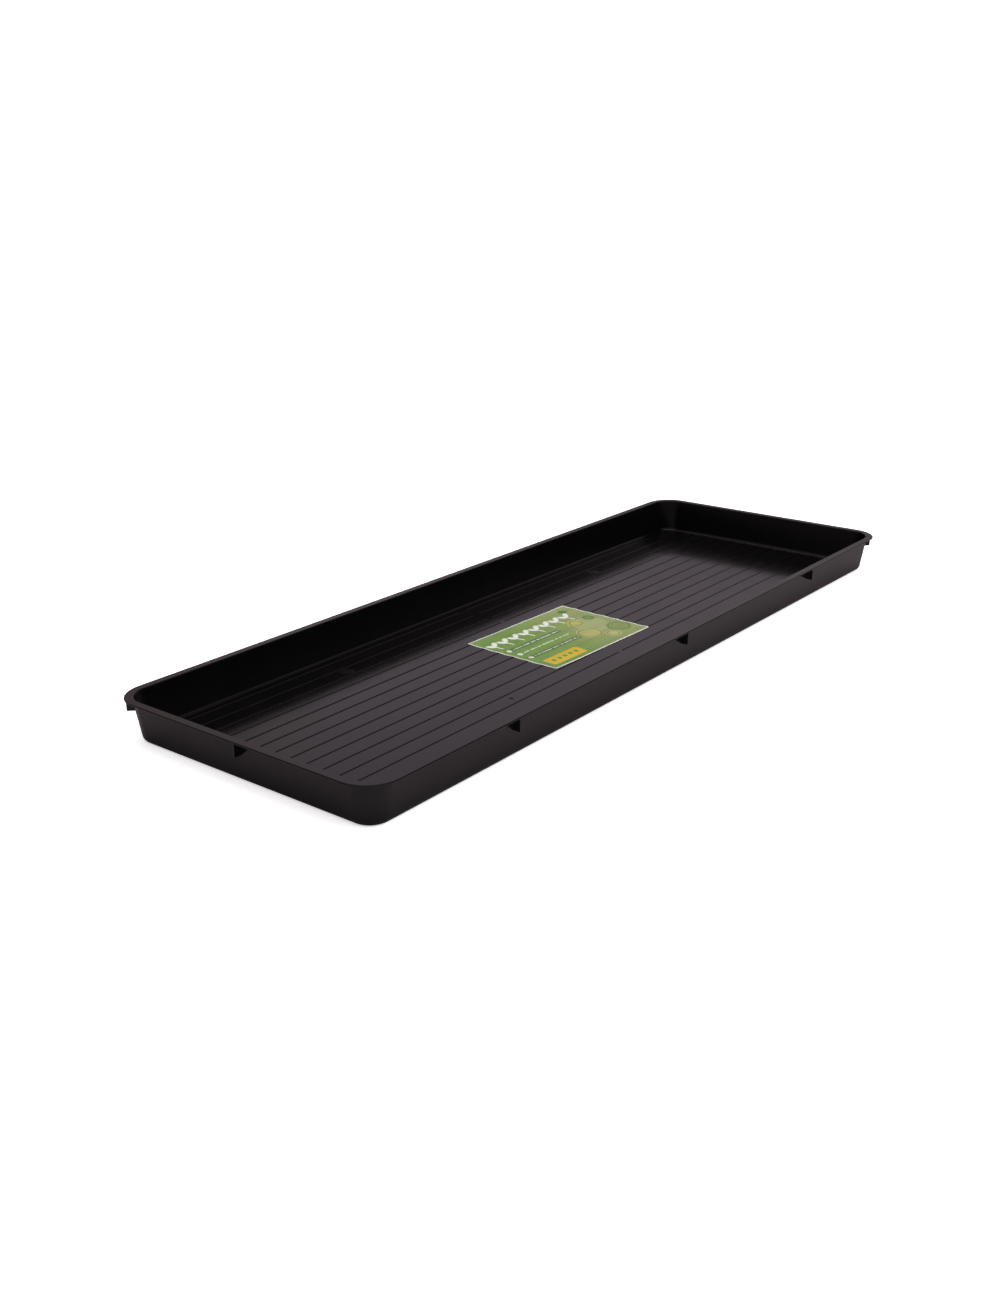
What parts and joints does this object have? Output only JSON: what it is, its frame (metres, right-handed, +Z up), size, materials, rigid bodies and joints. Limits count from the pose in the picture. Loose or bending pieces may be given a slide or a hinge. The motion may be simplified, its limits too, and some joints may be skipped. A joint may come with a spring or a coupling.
{
  "type": "garden tray",
  "caption": "Long shallow rectangular plant tray with sloping walls, an outward rim with gussets, a ribbed floor and a stuck-on paper label.",
  "frame": {"origin": "on the ground under the middle of the tray", "axes": "+X along the length, +Y across the width, +Z up out of the tray"},
  "size_m": [1.2, 0.416, 0.056],
  "materials": {
    "black_plastic": "smooth moulded polypropylene, black, semi-gloss",
    "printed_paper": "green and white print on coated white paper"
  },
  "bodies": {
    "root": {"tray_moulding": "black_plastic", "label": "printed_paper"}
  },
  "joints": []
}
